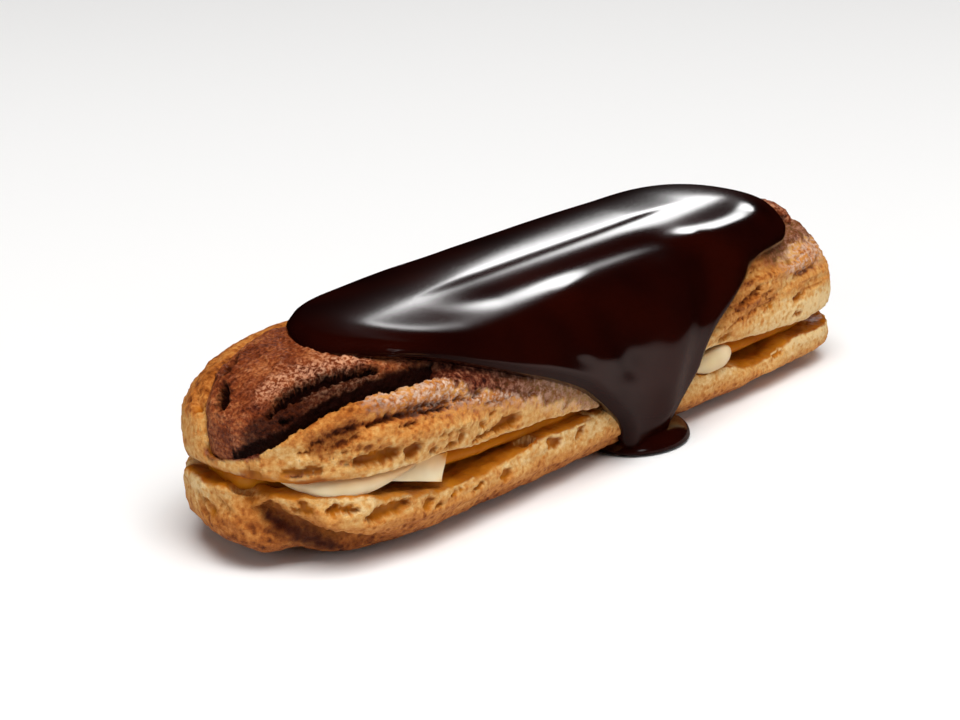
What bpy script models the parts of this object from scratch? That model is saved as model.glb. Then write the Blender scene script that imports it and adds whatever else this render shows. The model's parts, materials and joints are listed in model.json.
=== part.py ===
"""A filled chocolate eclair: a choux bun split along its length, two fillings, a cocoa crust and a poured glaze.

The long axis is X with the tapered end at -X, the glaze's drip is on the -Y side, and Z is up from the
surface that the eclair lies on. The origin is the centre of the footprint, at that surface.
"""

import math

import bmesh
import bpy

MM = 0.001
CLEARANCE = 0.3 * MM  # kept between neighbouring pieces

# Whole eclair. A pair holds the values at the tapered end and at the blunt end.
LENGTH = 140 * MM
DEPTH = 43.2 * MM  # over the bun's back and the front of the glaze's puddle
HALF_WIDTH = (19.6 * MM, 20.4 * MM)  # of the bun
SIDE_LOSS = 0.37 * MM  # what the hollow band of crumb takes off the bun's widest place
BUN_Y = DEPTH / 2 - HALF_WIDTH[1] + SIDE_LOSS  # the bun's centre line, which centres the footprint
BUN_TOP = (28.1 * MM, 27.2 * MM)
END_REACH = (24 * MM, 16 * MM)  # how far in each end starts to narrow
END_POWER = (2.1, 3.2)  # the higher, the blunter
FALL_REACH = (26 * MM, 27 * MM)  # how far in the top starts to fall
FALL_POWER = (2.2, 2.6)
BUN_POWER = 2.3  # of the superellipse that each half's section follows

# Gap between the halves: it rises towards the tapered end, and nearly shuts beside the glaze's skirt
SPLIT_HEIGHT = 8.8 * MM
SPLIT_RISE = 4.9 * MM
SPLIT_POWER = 2.2
GAP = (4.6 * MM, 3.6 * MM)
GAP_CLOSED = 2.4 * MM
PINCH_X = 4 * MM
PINCH_REACH = 22 * MM

# The halves' own forms
TOP_LIP_DROP = 4.5 * MM  # from the top half's widest place down to its lip
BASE_LIP_DROP = 2.4 * MM  # from the bottom half's lip down to its widest place
LIP_TUCK = 3.6  # the higher, the less a lip tucks in
BASE_SHRINK = 0.985  # the bottom half's width, as a share of the top half's
BASE_SAG = 0.8 * MM  # how far its round underside would reach below the surface that flattens it
BASE_FULLNESS = 0.6  # the lower, the blunter its ends
CREASE_X = -61 * MM
CREASE_REACH = 9 * MM
CREASE_DEPTH = 2.4 * MM
RIDGE = 0.9 * MM  # baked fold that stands out along the top half's side
BAND = 0.9 * MM  # hollow in the crumb below it

# Cocoa crust
CRUST_REACH = 69 * MM
CRUST_SIDES = (-14.8 * MM, 12.5 * MM)  # from the bun's centre line, towards the drip's side and away from it
CRUST_THICKNESS = 9 * MM
CRUST_FLOOR = 1.8 * MM  # least height of choux left under it
CRUST_PROUD = 0.8 * MM

# Fillings
CUSTARD_SHARE = 0.58  # of the gap's height; the cream lies on it
FILLING_REACH = 67 * MM
CUSTARD_INSET = 2.6 * MM
CREAM_INSET = 1.4 * MM
BULGE_X = -56 * MM  # where the cream is squeezed out over the custard
BULGE_REACH = 19 * MM
BULGE_WIDTH = 4.5 * MM

# Glaze
GLAZE_SPAN = (-50.5 * MM, 58.5 * MM)
GLAZE_THICKNESS = 2.0 * MM
SKIRT_THICKNESS = 1.7 * MM
FLUTE_HEIGHT = 0.8 * MM
FLUTES = 4
GLAZE_LOWER_REACH = 26 * MM  # of the curve that the skirt hangs on, below the bun's widest place
GLAZE_POWER = 2.6
EDGE_ANGLE = math.radians(50)  # around the section's middle, far from the drip
EDGE_DROP = math.radians(91)
EDGE_SPREAD = (38 * MM, 25 * MM)  # how gently the edge climbs away from the drip
BACK_ANGLE = math.radians(30)
DRIP_X = 6.5 * MM
PUDDLE_X = 9.5 * MM
PUDDLE_RADIUS = (9.5 * MM, 7.5 * MM)
PUDDLE_HEIGHT = 3.6 * MM


def between(pair, x):
    """A value that runs evenly from the tapered end's to the blunt end's."""
    share = x / LENGTH + 0.5
    return pair[0] * (1 - share) + pair[1] * share


def bump(x, centre, reach):
    """1 at the centre, falling smoothly to 0 at the reach."""
    return math.cos(min(1, abs(x - centre) / reach) * math.pi / 2) ** 2


def rounding(x, reach, power):
    """How much of its full size the bun has at x: 1 in the middle, 0 at the tips."""
    into_end = 1 - (LENGTH / 2 - abs(x)) / reach
    if into_end <= 0:
        return 1
    return (1 - min(1, into_end) ** power) ** (1 / power)


def end_scale(x):
    """How much of its full width the bun has at x."""
    end = 0 if x < 0 else 1
    return rounding(x, END_REACH[end], END_POWER[end])


def end_lift(x):
    """How much of its full height each half has at x."""
    end = 0 if x < 0 else 1
    return rounding(x, FALL_REACH[end], FALL_POWER[end])


def stations(low, high, count, crowding=1.0):
    """Places along X between two tips, crowded towards them."""
    middle, half = (low + high) / 2, (high - low) / 2
    places = []
    for i in range(1, count):
        even = 2 * i / count - 1
        crowded = -math.cos(math.pi * i / count)
        places.append(middle + half * (even + (crowded - even) * crowding))
    return places


def polar(angle, half_width, height, power):
    """Distance to a superellipse's edge in this direction."""
    across = abs(math.cos(angle)) / half_width
    along = abs(math.sin(angle)) / height
    return (across**power + along**power) ** (-1 / power)


def split_at(x):
    """Height of the gap's middle."""
    return SPLIT_HEIGHT + SPLIT_RISE * (0.5 - x / LENGTH) ** SPLIT_POWER


def bun_top_at(x):
    """Height of the bun's top."""
    roof = split_at(x) + gap_at(x) / 2
    return roof + (between(BUN_TOP, x) - roof) * end_lift(x)


def gap_at(x):
    """Height of the open gap."""
    closing = min(1, 1.6 * bump(x, PINCH_X, PINCH_REACH))
    return between(GAP, x) * (1 - closing) + GAP_CLOSED * closing


def lobe_ring(half_width, height, lip_drop, bulge, count, floor=None):
    """One half's section, with its cut face at height 0 and its dome above, from the front lip to the back lip.

    The lobe is widest at lip_drop above the cut. bulge(angle) is added to its radius.
    """
    under = lip_drop * LIP_TUCK
    lip_y = half_width * (1 - (lip_drop / under) ** BUN_POWER) ** (1 / BUN_POWER)
    low = -math.atan2(lip_drop, lip_y)
    ring = []
    for i in range(count + 1):
        angle = low + (math.pi - 2 * low) * i / count
        reach = height - lip_drop if math.sin(angle) > 0 else under
        radius = polar(angle, half_width, reach, BUN_POWER) + bulge(angle)
        ring.append((-radius * math.cos(angle), lip_drop + radius * math.sin(angle)))
    ring[0] = (ring[0][0], 0)
    ring[-1] = (ring[-1][0], 0)
    if floor is not None:
        ring = [(y, min(z, floor)) for y, z in ring]
    inner = 5
    back, front = ring[-1][0], ring[0][0]
    for i in range(1, inner):
        ring.append((back + (front - back) * i / inner, 0))
    return ring


def loft(name, sections, tips, material):
    """A closed solid through rings of points, drawn to a point at each tip."""
    mesh = bmesh.new()
    rings = [[mesh.verts.new(point) for point in ring] for ring in sections]
    count = len(rings[0])
    for first, second in zip(rings, rings[1:]):
        for i in range(count):
            j = (i + 1) % count
            mesh.faces.new((first[i], first[j], second[j], second[i]))
    for ring, tip in ((rings[0], tips[0]), (rings[-1], tips[1])):
        point = mesh.verts.new(tip)
        for i in range(count):
            mesh.faces.new((ring[i], ring[(i + 1) % count], point))
    bmesh.ops.recalc_face_normals(mesh, faces=mesh.faces)
    data = bpy.data.meshes.new(name)
    mesh.to_mesh(data)
    mesh.free()
    data.shade_smooth()
    data.set_sharp_from_angle(angle=math.radians(50))
    data.materials.append(material)
    thing = bpy.data.objects.new(name, data)
    bpy.context.scene.collection.objects.link(thing)
    return thing


def middle_of(ring):
    """The mean of a ring's points."""
    return [sum(point[axis] for point in ring) / len(ring) for axis in range(3)]


def finish(name, colour, roughness):
    """A non-metal surface."""
    material = bpy.data.materials.new(name)
    material.use_nodes = True
    shader = material.node_tree.nodes["Principled BSDF"]
    shader.inputs["Base Color"].default_value = (*colour, 1)
    shader.inputs["Roughness"].default_value = roughness
    shader.inputs["Metallic"].default_value = 0
    material.diffuse_color = (*colour, 1)
    return material


def combine(thing, tool, operation):
    """Takes the tool's shape out of a piece, or joins it on."""
    tool.hide_render = True
    tool.display_type = "WIRE"
    modifier = thing.modifiers.new(tool.name, "BOOLEAN")
    modifier.operation = operation
    modifier.solver = "EXACT"
    modifier.object = tool


def bottom_solid(name, growth, count):
    """The flat-bottomed lower half, with a crease where the piped dough folded over at the tapered end."""
    sections = []
    for x in stations(-LENGTH / 2, LENGTH / 2, count):
        scale = end_scale(x)
        lift = end_lift(x) ** BASE_FULLNESS
        cut_height = split_at(x) - gap_at(x) / 2
        crease = CREASE_DEPTH * scale * bump(x, CREASE_X, CREASE_REACH)
        crease_angle = 0.9 + 0.6 * (x - CREASE_X) / CREASE_REACH

        def bulge(angle, crease=crease, crease_angle=crease_angle):
            return growth - crease * bump(angle, crease_angle, 0.5)

        ring = lobe_ring(
            between(HALF_WIDTH, x) * BASE_SHRINK * scale,
            (cut_height + BASE_SAG) * lift,
            BASE_LIP_DROP * lift,
            bulge,
            18,
            floor=cut_height * lift + growth,
        )
        sections.append([(x, BUN_Y + y, cut_height - z) for y, z in ring])
    tips = [(x, BUN_Y, split_at(x) - gap_at(x) / 2) for x in (-LENGTH / 2, LENGTH / 2)]
    return loft(name, sections, tips, finish(name, (0.48, 0.23, 0.07), 0.75))


def build_top_half(crust_room):
    """The domed upper half: a baked ridge over a paler, hollowed band of crumb along its lip, and a trench on top."""
    sections = []
    for x in stations(-LENGTH / 2, LENGTH / 2, 32):
        scale, lift = end_scale(x), end_lift(x)
        cut_height = split_at(x) + gap_at(x) / 2

        def bulge(angle, scale=scale):
            ridge = bump(angle, 0.62, 0.3) + bump(angle, math.pi - 0.62, 0.3)
            band = bump(angle, 0.12, 0.3) + bump(angle, math.pi - 0.12, 0.3)
            return (RIDGE * ridge - BAND * band) * scale

        ring = lobe_ring(
            between(HALF_WIDTH, x) * scale,
            (between(BUN_TOP, x) - cut_height) * lift,
            TOP_LIP_DROP * lift,
            bulge,
            26,
        )
        sections.append([(x, BUN_Y + y, cut_height + z) for y, z in ring])
    tips = [(x, BUN_Y, split_at(x) + gap_at(x) / 2) for x in (-LENGTH / 2, LENGTH / 2)]
    half = loft("top_half", sections, tips, finish("choux crust", (0.56, 0.29, 0.1), 0.7))
    combine(half, crust_room, "DIFFERENCE")


def dome_at(x, y):
    """Height of the smooth dome that the glaze lies on, y away from the bun's centre line."""
    widest = split_at(x) + gap_at(x) / 2 + TOP_LIP_DROP * end_lift(x)
    half_width = between(HALF_WIDTH, x) * end_scale(x)
    across = min(1, abs(y) / max(half_width, MM))
    return widest + (bun_top_at(x) + CRUST_PROUD - widest) * (1 - across**GLAZE_POWER) ** (1 / GLAZE_POWER)


def layer(name, material, reach, counts, sides, heights):
    """A long layer between -reach and reach, with rounded edges.

    sides(x) are its front and back edges, and heights(x, y, into) its bottom and top, where y is measured from
    the bun's centre line and into from the front edge. counts are its stations and its points across.
    """
    sections = []
    for x in stations(-reach, reach, counts[0]):
        front, back = sides(x)
        upper, lower = [], []
        for i in range(counts[1]):
            share = 0.5 - 0.5 * math.cos(math.pi * (i + 0.5) / counts[1])
            y = front + (back - front) * share
            full = (1 - abs(2 * share - 1) ** 6) ** 0.5
            low, high = heights(x, y, y - front)
            middle, half = (high + low) / 2, (high - low) / 2 * full
            upper.append((x, BUN_Y + y, middle + half))
            lower.append((x, BUN_Y + y, middle - half))
        sections.append(upper + lower[::-1])
    tips = []
    for x, ring in ((-reach, sections[0]), (reach, sections[-1])):
        tips.append((x, *middle_of(ring)[1:]))
    return loft(name, sections, tips, material)


def crust_solid(name, growth):
    """The cocoa crust: a long low loaf let into the top of the bun, that reaches down over both ends."""
    reach = CRUST_REACH + growth

    def sides(x):
        scale = (1 - (abs(x) / reach) ** 4) ** 0.45
        return CRUST_SIDES[0] * scale - growth, CRUST_SIDES[1] * scale + growth

    def heights(x, y, into):
        top = dome_at(x, y)
        floor = split_at(x) + gap_at(x) / 2 + CRUST_FLOOR
        thickness = CRUST_THICKNESS * (1 - 0.55 * (abs(x) / reach) ** 4)
        bottom = min(max(bun_top_at(x) - thickness, floor), top - 1.2 * MM)
        return bottom - growth, top + growth * 3

    return layer(name, finish(name, (0.11, 0.032, 0.014), 0.8), reach, (30, 11), sides, heights)


def build_fillings():
    """Custard along the gap's floor and cream over it, squeezed out at the front of the tapered end."""

    def floor(x):
        return split_at(x) - gap_at(x) / 2 + CLEARANCE

    def shared(x):
        return split_at(x) + gap_at(x) * (CUSTARD_SHARE - 0.5)

    def roof(x):
        return split_at(x) + gap_at(x) / 2 - CLEARANCE

    def squeezed(x):
        return min(1, 1.5 * bump(x, BULGE_X, BULGE_REACH))

    def inside(x, front_inset, back_inset):
        lip = between(HALF_WIDTH, x) * 0.95 * end_scale(x * LENGTH / 2 / FILLING_REACH)
        return -max(lip - front_inset, 0.25 * lip), max(lip - back_inset, 0.25 * lip)

    def custard_sides(x):
        return inside(x, CUSTARD_INSET + (BULGE_WIDTH + 2 * CREAM_INSET - CUSTARD_INSET) * squeezed(x), CUSTARD_INSET)

    def cream_sides(x):
        return inside(x, CREAM_INSET * (1 - squeezed(x)), CREAM_INSET)

    def custard_heights(x, y, into):
        return floor(x), shared(x) - CLEARANCE / 2

    def cream_heights(x, y, into):
        level = shared(x) + CLEARANCE / 2
        reach = max(BULGE_WIDTH * squeezed(x), 0.1 * MM)
        over = squeezed(x) * bump(into, 0, reach) ** 0.5
        return level + (floor(x) + 0.6 * MM - level) * over, roof(x)

    custard = finish("custard", (0.5, 0.22, 0.03), 0.45)
    cream = finish("cream", (0.7, 0.58, 0.42), 0.45)
    layer("custard", custard, FILLING_REACH, (24, 10), custard_sides, custard_heights)
    layer("cream", cream, FILLING_REACH, (24, 10), cream_sides, cream_heights)


def glaze_edges(x):
    """Angles of the sheet's front and back edges around the section's middle, and how near its tips it is."""
    low, high = GLAZE_SPAN
    into = min((x - low) / (9 * MM), (high - x) / (9 * MM), 1)
    fullness = (1 - (1 - into) ** 2.6) ** (1 / 2.6)
    away = math.hypot(x - DRIP_X, 2 * MM)
    front = EDGE_ANGLE - EDGE_DROP * math.exp(-away / EDGE_SPREAD[0 if x < DRIP_X else 1])
    back = BACK_ANGLE + math.radians(5) * math.sin(x / (14 * MM))
    top = math.pi / 2
    return top - (top - front) * fullness, top - (top - back) * fullness, fullness


def flute(angle, x):
    """Height of the soft lengthwise ridges in the sheet, which fade towards its edges."""
    across = (angle - math.pi / 2) / math.radians(62)
    if abs(across) >= 1:
        return 0
    along = 1 - bump(x, GLAZE_SPAN[0], 26 * MM) * 0.8
    return FLUTE_HEIGHT * (0.5 + 0.5 * math.cos(math.tau * FLUTES * across / 2)) * (1 - across**2) * along


def build_glaze(bun_room):
    """A thick poured sheet over the crust, with a skirt that runs down the front into a puddle."""
    outer_count, inner_count = 26, 13
    sections = []
    for x in stations(*GLAZE_SPAN, 41, 0.45):
        front, back, fullness = glaze_edges(x)
        widest = split_at(x) + gap_at(x) / 2 + TOP_LIP_DROP * end_lift(x)
        half_width = between(HALF_WIDTH, x) * end_scale(x) + CLEARANCE
        top = bun_top_at(x) + CRUST_PROUD + CLEARANCE

        def point(angle, share, outside):
            reach = top - widest if math.sin(angle) > 0 else GLAZE_LOWER_REACH
            radius = polar(angle, half_width, reach, GLAZE_POWER)
            if outside:
                low_down = bump(angle, front, 0.9)
                thickness = GLAZE_THICKNESS + (SKIRT_THICKNESS - GLAZE_THICKNESS) * low_down
                edge = (1 - abs(2 * share - 1) ** 9) ** 0.5
                radius += (thickness * (0.25 + 0.75 * fullness) + flute(angle, x)) * edge
            return (x, BUN_Y - radius * math.cos(angle), max(widest + radius * math.sin(angle), 1.2 * MM))

        ring = []
        for i in range(outer_count):
            share = 0.5 - 0.5 * math.cos(math.pi * (i + 0.5) / outer_count)
            share = share * 0.5 + 0.5 * (i + 0.5) / outer_count
            ring.append(point(front + (math.pi - back - front) * share, share, True))
        for i in range(inner_count):
            share = 1 - i / (inner_count - 1)
            ring.append(point(front + (math.pi - back - front) * share, share, False))
        sections.append(ring)
    tips = []
    for x, ring in ((GLAZE_SPAN[0], sections[0]), (GLAZE_SPAN[1], sections[-1])):
        tips.append((x, *middle_of(ring)[1:]))
    sheet = loft("glaze", sections, tips, finish("chocolate glaze", (0.03, 0.006, 0.003), 0.12))
    combine(sheet, puddle_solid(), "UNION")
    combine(sheet, bun_room, "DIFFERENCE")


def puddle_solid():
    """A low pool with a rounded rim, flat on the surface below."""
    mesh = bmesh.new()
    bmesh.ops.create_uvsphere(mesh, u_segments=28, v_segments=12, radius=1)
    low_half = [vert for vert in mesh.verts if vert.co.z < -0.01]
    bmesh.ops.delete(mesh, geom=low_half, context="VERTS")
    rim = [edge for edge in mesh.edges if edge.is_boundary]
    bmesh.ops.contextual_create(mesh, geom=rim)
    for vert in mesh.verts:
        across = math.hypot(vert.co.x, vert.co.y)
        vert.co.z = (1 - min(across, 1) ** 3) ** 0.5 if vert.co.z > 0.01 else 0
        vert.co.x = PUDDLE_X + vert.co.x * PUDDLE_RADIUS[0]
        vert.co.y = -DEPTH / 2 + PUDDLE_RADIUS[1] + vert.co.y * PUDDLE_RADIUS[1]
        vert.co.z *= PUDDLE_HEIGHT
    bmesh.ops.recalc_face_normals(mesh, faces=mesh.faces)
    data = bpy.data.meshes.new("puddle")
    mesh.to_mesh(data)
    mesh.free()
    data.shade_smooth()
    thing = bpy.data.objects.new("puddle", data)
    bpy.context.scene.collection.objects.link(thing)
    return thing


def clear_scene():
    for thing in list(bpy.data.objects):
        bpy.data.objects.remove(thing)


clear_scene()
bottom_solid("bottom_half", 0, 32)
build_top_half(crust_solid("crust_room", CLEARANCE))
crust_solid("cocoa_crust", 0)
build_fillings()
build_glaze(bottom_solid("bun_room", CLEARANCE, 32))
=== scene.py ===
"""A chocolate eclair: a split choux bun filled with custard and cream, a cocoa crust and a poured glaze."""

import json
import math

import bpy
import numpy as np
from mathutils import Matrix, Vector, kdtree, noise
from mathutils.bvhtree import BVHTree

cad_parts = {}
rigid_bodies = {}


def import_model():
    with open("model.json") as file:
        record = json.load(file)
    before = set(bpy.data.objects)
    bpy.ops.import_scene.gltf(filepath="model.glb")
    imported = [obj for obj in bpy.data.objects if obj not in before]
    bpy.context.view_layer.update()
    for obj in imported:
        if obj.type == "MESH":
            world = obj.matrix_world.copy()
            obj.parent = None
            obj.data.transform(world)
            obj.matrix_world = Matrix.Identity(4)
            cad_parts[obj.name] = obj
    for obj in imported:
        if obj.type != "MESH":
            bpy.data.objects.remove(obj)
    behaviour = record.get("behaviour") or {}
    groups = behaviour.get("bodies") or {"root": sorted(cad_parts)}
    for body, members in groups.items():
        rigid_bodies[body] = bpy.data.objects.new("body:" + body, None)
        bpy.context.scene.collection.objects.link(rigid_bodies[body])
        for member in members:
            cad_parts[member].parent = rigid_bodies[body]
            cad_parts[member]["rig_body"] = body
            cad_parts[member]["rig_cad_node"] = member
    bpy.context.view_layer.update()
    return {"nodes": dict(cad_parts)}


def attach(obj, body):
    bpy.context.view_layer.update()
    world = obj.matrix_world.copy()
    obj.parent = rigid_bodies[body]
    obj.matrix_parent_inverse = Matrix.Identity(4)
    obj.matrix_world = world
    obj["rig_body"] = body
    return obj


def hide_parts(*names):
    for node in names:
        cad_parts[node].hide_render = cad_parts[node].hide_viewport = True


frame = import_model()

# ---------------------------------------------------------------------------------------------------------
# Bottom half of the bun.
# Choux pastry, piped and baked until it is dry, then split along its length with a knife. Its underside is
# flat from the tray, its skin is golden, and the torn edge under the filling shows pale crumb with holes.

MM = 0.001
BUN_Y = 1.57  # the bun's centre line; every size below is in millimetres
LENGTH = 140.0


def alone(piece=None):
    """Selects this piece and nothing else."""
    bpy.ops.object.select_all(action="DESELECT")
    if piece:
        piece.select_set(True)
        bpy.context.view_layer.objects.active = piece


def copy_of(node, name):
    """A welded copy of a CAD node, to be worked on."""
    alone(frame["nodes"][node])
    bpy.ops.object.duplicate()
    piece = bpy.context.object
    piece.name = piece.data.name = name
    piece.parent = None
    del piece["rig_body"]
    del piece["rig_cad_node"]
    piece.data.materials.clear()
    bpy.ops.object.mode_set(mode="EDIT")
    bpy.ops.mesh.select_all(action="SELECT")
    bpy.ops.mesh.remove_doubles(threshold=0.001 * MM)
    bpy.ops.object.mode_set(mode="OBJECT")
    return piece


def modify(piece, kind, **settings):
    """Adds a modifier and applies it."""
    alone(piece)
    modifier = piece.modifiers.new(kind.title(), kind)
    for setting, value in settings.items():
        setattr(modifier, setting, value)
    bpy.ops.object.modifier_apply(modifier=modifier.name)


def even_out(piece, size, rounds):
    """Gives the piece an even mesh of this size and smooths it."""
    modify(piece, "REMESH", mode="VOXEL", voxel_size=size * MM, use_smooth_shade=True)
    modify(piece, "SMOOTH", factor=0.5, iterations=rounds)


def points_of(piece):
    """Every point of the mesh, in millimetres."""
    flat = np.empty(len(piece.data.vertices) * 3)
    piece.data.vertices.foreach_get("co", flat)
    return flat.reshape(-1, 3) / MM


def normals_of(piece):
    """The direction that the surface faces at every point."""
    flat = np.empty(len(piece.data.vertices) * 3)
    piece.data.vertices.foreach_get("normal", flat)
    return flat.reshape(-1, 3)


def move_points(piece, points):
    """Puts every point of the mesh in its new place, given in millimetres."""
    piece.data.vertices.foreach_set("co", (points * MM).ravel())
    piece.data.update()


def refine(piece, chosen):
    """Divides the faces whose middles are chosen, for finer detail there."""
    middles = np.empty(len(piece.data.polygons) * 3)
    piece.data.polygons.foreach_get("center", middles)
    picked = chosen(*(middles.reshape(-1, 3) / MM).T)
    alone(piece)
    bpy.ops.object.mode_set(mode="EDIT")
    bpy.ops.mesh.select_mode(type="FACE")
    bpy.ops.mesh.select_all(action="DESELECT")
    bpy.ops.object.mode_set(mode="OBJECT")
    piece.data.polygons.foreach_set("select", picked)
    bpy.ops.object.mode_set(mode="EDIT")
    bpy.ops.mesh.subdivide(number_cuts=1)
    bpy.ops.object.mode_set(mode="OBJECT")


def mottle(points, size, seed, octaves=3):
    """Smooth uneven values around 0, with lumps of this size."""
    places = points / np.array(size, float) + seed * 7.31
    return np.array([noise.fractal(place, 1.0, 2.0, octaves) for place in places.tolist()])


def ease(value, low, high):
    """0 below low, 1 above high, and smooth between them."""
    share = np.clip((value - low) / (high - low), 0, 1)
    return share * share * (3 - 2 * share)


def near(points, path, reach, steep=2.0, ragged=0.0, seed=0, taper=0.6):
    """1 on a path, falling to 0 about a reach away from it; the path narrows towards its ends."""
    path = np.array(path, float)
    if len(path) == 1:
        path = np.repeat(path, 2, axis=0)
    lengths = np.linalg.norm(np.diff(path, axis=0), axis=1)
    starts = np.concatenate([[0], np.cumsum(lengths)])
    whole = max(starts[-1], 1e-6)
    found = np.zeros(len(points))
    low, high = path.min(axis=0) - 3 * reach, path.max(axis=0) + 3 * reach
    close = np.where(np.all((points > low) & (points < high), axis=1))[0]
    if not len(close):
        return found
    some = points[close]
    best = np.full(len(some), 1e9)
    for first, second, start, length in zip(path[:-1], path[1:], starts, lengths):
        step = second - first
        along = np.clip((some - first) @ step / max(length * length, 1e-9), 0, 1)
        away = np.linalg.norm(some - first - along[:, None] * step, axis=1)
        share = (start + along * length) / whole
        slim = 1 - taper * np.abs(2 * share - 1) ** 3 if whole > 1e-3 else 1
        best = np.minimum(best, away / slim)
    if ragged:
        best = np.maximum(best + ragged * mottle(some, 0.9, seed, 2), 0)
    found[close] = np.exp(-((best / reach) ** steep))
    return found


def dig(points, normals, holes, seed):
    """Sinks steep walled holes, each a path, a reach and a depth, and returns which points are in them."""
    dug = np.zeros(len(points))
    for number, (path, reach, depth) in enumerate(holes, seed):
        hole = near(points, path, reach, 6.0, 0.5, number, 0.3)
        points -= normals * (hole * depth)[:, None]
        dug = np.maximum(dug, hole)
    return dug


def paint(piece, name, values):
    """Stores a value between 0 and 1 for every point, for the piece's material to read."""
    attribute = piece.data.attributes.get(name) or piece.data.attributes.new(name, "FLOAT", "POINT")
    attribute.data.foreach_set("value", np.clip(values, 0, 1).astype(np.float32))


def between(pair, x):
    """A value that runs evenly from the tapered end's to the blunt end's."""
    share = x / LENGTH + 0.5
    return pair[0] * (1 - share) + pair[1] * share


def split_at(x):
    """Height of the middle of the gap between the halves."""
    return 8.8 + 4.9 * np.clip(0.5 - x / LENGTH, 0, 1) ** 2.2


def gap_at(x):
    """Height of the gap, which nearly shuts beside the glaze's drip."""
    closing = np.minimum(1, 1.6 * np.cos(np.clip(np.abs(x - 4) / 22, 0, 1) * np.pi / 2) ** 2)
    return between((4.6, 3.6), x) * (1 - closing) + 2.4 * closing


def lip_wave(x, y, shift, amount, size, seed):
    """How far a lip is moved up: by this shift at the front and the tapered tip, unevenly at the back."""
    front = np.clip(ease(BUN_Y - y, 5, 10) + ease(-x, 62, 66) * (y < 12), 0, 1)
    behind = amount * mottle(np.column_stack([x, x * 0, x * 0]), size, seed, 2)
    return front * shift + (1 - front) * behind * ease(y - BUN_Y, 4, 10)


def linear(colour):
    """A hex colour as the shader's linear values."""
    values = [int(colour[i : i + 2], 16) / 255 for i in (1, 3, 5)]
    return [v / 12.92 if v <= 0.04045 else ((v + 0.055) / 1.055) ** 2.4 for v in values] + [1.0]


def plug(made, links):
    """Sets a node's sockets, or links them to other nodes' first outputs in use."""
    for socket, source in links.items():
        if isinstance(source, bpy.types.Node):
            source = next(output for output in source.outputs if output.enabled)
        if isinstance(source, bpy.types.NodeSocket):
            made.id_data.links.new(source, made.inputs[socket])
        else:
            made.inputs[socket].default_value = source


def add_node(tree, kind, links, stops=(), **settings):
    """Adds a node with its settings and links, and a ramp's stops: a place and a colour or grey each."""
    made = tree.nodes.new("ShaderNode" + kind)
    for setting, value in settings.items():
        setattr(made, setting, value)
    plug(made, links)
    if stops:
        elements = made.color_ramp.elements
        while len(elements) < len(stops):
            elements.new(0.5)
        for element, (spot, colour) in zip(elements, stops):
            element.position = spot
            element.color = linear(colour) if isinstance(colour, str) else (colour, colour, colour, 1)
    return made


def new_material(name, evenly):
    """A material, its tree, its Principled shader with its even values set, and the place on the piece."""
    material = bpy.data.materials.new(name)
    material.use_nodes = True
    tree = material.node_tree
    shader = tree.nodes["Principled BSDF"]
    plug(shader, evenly)
    return material, tree, shader, add_node(tree, "TexCoord", {}).outputs["Object"]


# Baked choux: matt golden skin, browner where it stands proud, and pale open crumb where it was torn. The
# holes' walls are a thin amber film, a little glossy. Each half says where it is browned (with painted shade
# in creases and cracks and painted light at the blunt end), in a hole, dusted with flour, darkened by
# painted shade in its recesses, or covered with cocoa crumbs.
choux, tree, shader, place = new_material("Choux_pastry_baked", {"IOR": 1.45, "Specular IOR Level": 0.35})
bake_light_and_shade, hole, dust, recess_shade, cocoa = (
    add_node(tree, "Attribute", {}, attribute_name=name).outputs["Fac"]
    for name in ("bake_light_and_shade", "hole", "dust", "recess_shade", "cocoa")
)
grain = add_node(
    tree, "TexNoise", {"Vector": place, "Scale": 1 / (0.75 * MM), "Detail": 3.0, "Roughness": 0.65}
)
patch = add_node(
    tree, "TexNoise", {"Vector": place, "Scale": 1 / (4.5 * MM), "Detail": 3.0, "Roughness": 0.55}
)
drawn = add_node(tree, "Mapping", {"Vector": place, "Scale": (1 / (9 * MM), 1 / (3 * MM), 1 / (1.2 * MM))})
streak = add_node(tree, "TexNoise", {"Vector": drawn, "Scale": 1.0, "Detail": 4.0, "Roughness": 0.6})
pores = add_node(
    tree, "TexVoronoi", {"Vector": place, "Scale": 1 / (1.0 * MM), "Randomness": 1.0}, feature="SMOOTH_F1"
)
tone = bake_light_and_shade
for source, amount in ((grain, 0.72), (patch, 0.35), (streak, 0.5)):
    centred = add_node(tree, "Math", {0: source, 1: 0.5}, operation="SUBTRACT")
    tone = add_node(tree, "Math", {0: centred, 1: amount, 2: tone}, operation="MULTIPLY_ADD")
pore = add_node(
    tree, "MapRange", {"Value": pores, "From Min": 0.12, "From Max": 0.42, "To Min": 0.2, "To Max": -0.05}
)
tone = add_node(tree, "Math", {0: tone, 1: pore}, operation="ADD")
skin = add_node(tree, "ValToRGB", {"Fac": tone}, stops=[
    (0, "#F0CD94"), (0.2, "#E2AC65"), (0.4, "#D48C43"), (0.6, "#B8692A"), (0.8, "#8A4617"), (1, "#4E1F09"),
])
dusting = add_node(tree, "ValToRGB", {"Fac": grain}, stops=[(0.44, 0.0), (0.6, 1.0)])
dusted = add_node(tree, "Math", {0: dusting, 1: dust}, operation="MULTIPLY")
powdered = add_node(tree, "Mix", {"Factor": dusted, "A": skin, "B": linear("#EBCBB2")}, data_type="RGBA")
sandy = add_node(
    tree, "ValToRGB", {"Fac": grain}, stops=[(0.36, "#2A0A05"), (0.5, "#6A2F1C"), (0.66, "#A5694B")]
)
chocolate = add_node(tree, "Mix", {"Factor": cocoa, "A": powdered, "B": sandy}, data_type="RGBA")
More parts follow.
